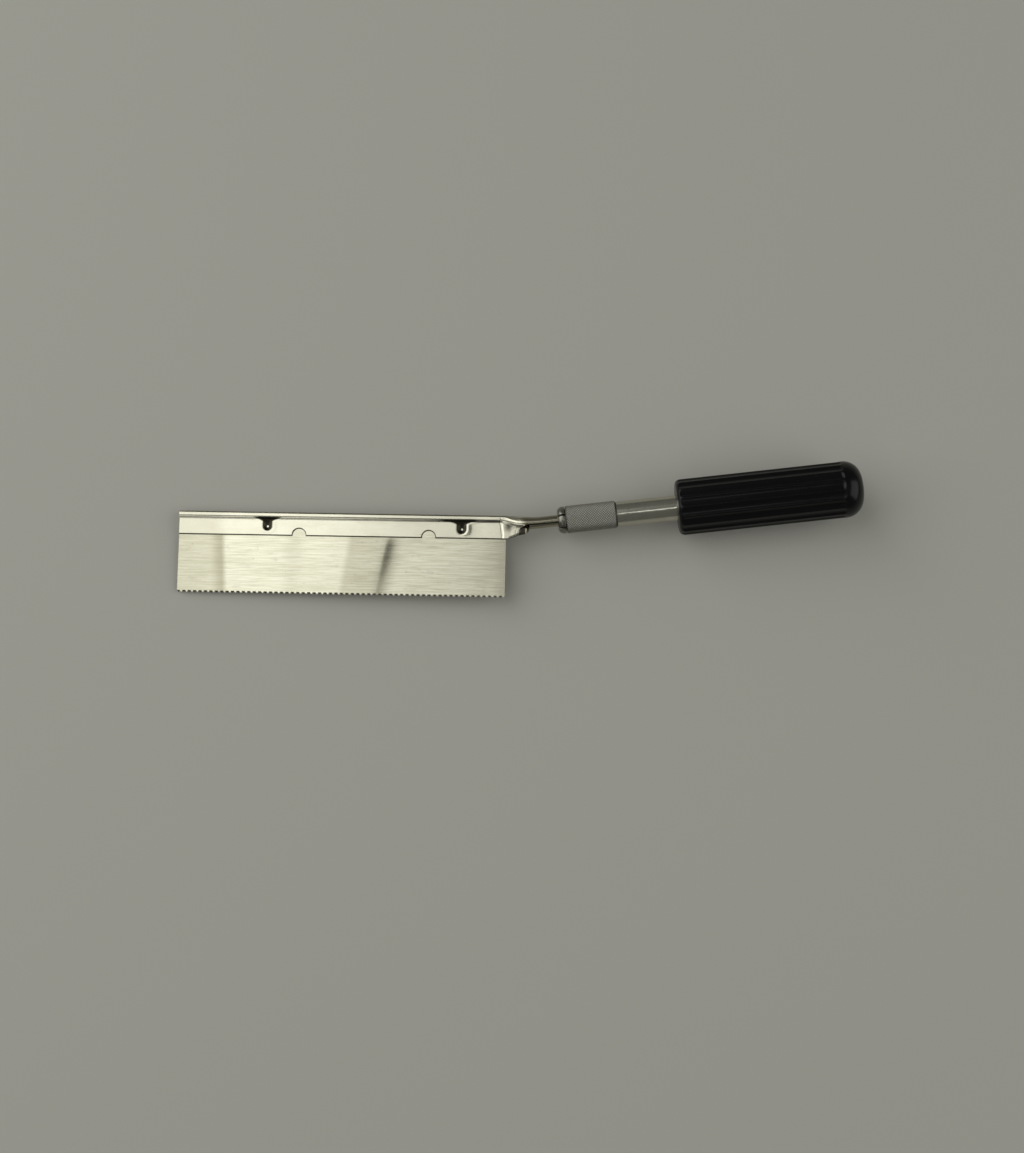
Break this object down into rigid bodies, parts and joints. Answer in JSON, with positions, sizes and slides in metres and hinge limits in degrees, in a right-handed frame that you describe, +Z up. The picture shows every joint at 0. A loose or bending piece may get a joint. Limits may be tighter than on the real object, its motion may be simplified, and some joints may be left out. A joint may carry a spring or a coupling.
{
  "type": "flush cut saw",
  "caption": "Thin fine-toothed saw blade in a folded steel spine with a rolled stem, held in the collet of a knurled aluminium chuck with a black fluted grip.",
  "frame": {"origin": "middle of the saw's outline on the surface that it lies on", "axes": "+X from the toe of the blade to the handle, +Y from the teeth to the spine, +Z up from the surface; the saw lies on its side as pictured"},
  "size_m": [0.263, 0.0548, 0.0247],
  "materials": {
    "blade_steel": "brushed along the blade",
    "spine_steel": "bright plated sheet",
    "jaw_aluminium": "turned",
    "knurled_aluminium": "fine diamond knurl",
    "shank_aluminium": "satin drawn rod",
    "grip_plastic": "glossy black moulding"
  },
  "bodies": {
    "handle": {"grip": "grip_plastic", "shank": "shank_aluminium"},
    "chuck_sleeve": {"chuck_sleeve": "knurled_aluminium"},
    "collet": {"collet": "jaw_aluminium"},
    "saw": {"saw_blade": "blade_steel", "spine": "spine_steel"}
  },
  "joints": [
    {"name": "chuck_turn", "type": "hinge", "parent": "handle", "child": "chuck_sleeve", "pos_m": [0.01869, 0.00326, 0.00839], "axis": [-0.9908, -0.1252, -0.0508], "range_deg": [0, 720]},
    {"name": "collet_advance", "type": "slide", "parent": "chuck_sleeve", "child": "collet", "axis": [-0.9908, -0.1252, -0.0508], "range_m": [0, 0.00182]},
    {"name": "saw_withdraw", "type": "slide", "parent": "collet", "child": "saw", "axis": [-0.9908, -0.1252, -0.0508], "range_m": [0, 0.022]}
  ],
  "couplings": [
    {"joint": "collet_advance", "follows": "chuck_turn", "m_per_rad": 0.00014435}
  ]
}
